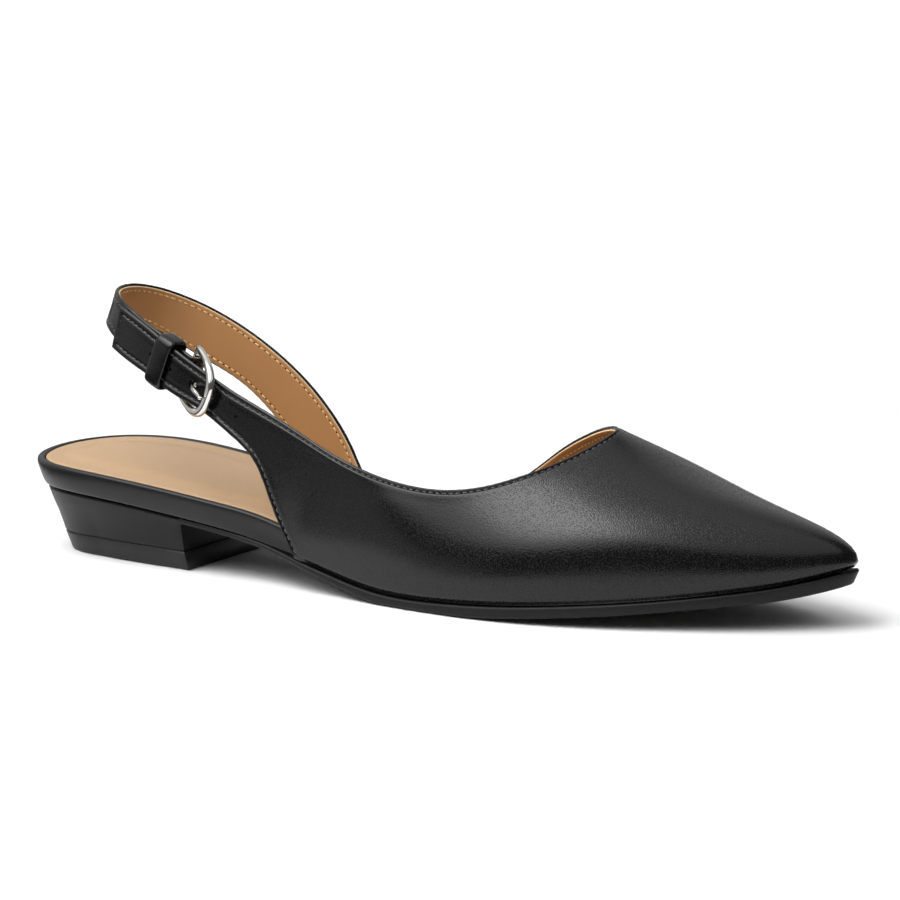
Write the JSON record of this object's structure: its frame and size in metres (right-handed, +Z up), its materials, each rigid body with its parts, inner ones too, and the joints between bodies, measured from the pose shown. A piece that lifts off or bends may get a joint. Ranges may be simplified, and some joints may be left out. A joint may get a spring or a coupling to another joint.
{
  "type": "low heel slingback",
  "caption": "Pointed-toe leather slingback for the right foot, with a low block heel, a tan lined footbed, an open inner arch and a buckled strap round the heel.",
  "frame": {"origin": "middle of the bottom of the shoe's bounding box, on the floor", "axes": "+X from heel to toe, +Y to the inner side of the foot, +Z up"},
  "size_m": [0.266, 0.0769, 0.0808],
  "materials": {
    "upper_leather": "satin black smooth leather, tan lining inside",
    "rand_leather": "satin black leather stretched over the footbed edge and the heel",
    "sole_rubber": "matte black moulded rubber",
    "sock_leather": "tan sock leather, matte",
    "buckle_metal": "polished bright plating"
  },
  "bodies": {
    "root": {"upper": "upper_leather", "keeper_loop": "upper_leather", "footbed": "rand_leather", "heel_block": "rand_leather", "heel_top_piece": "sole_rubber", "outsole": "sole_rubber", "insole_sock": "sock_leather", "buckle_frame": "buckle_metal", "buckle_prong": "buckle_metal"}
  },
  "joints": []
}
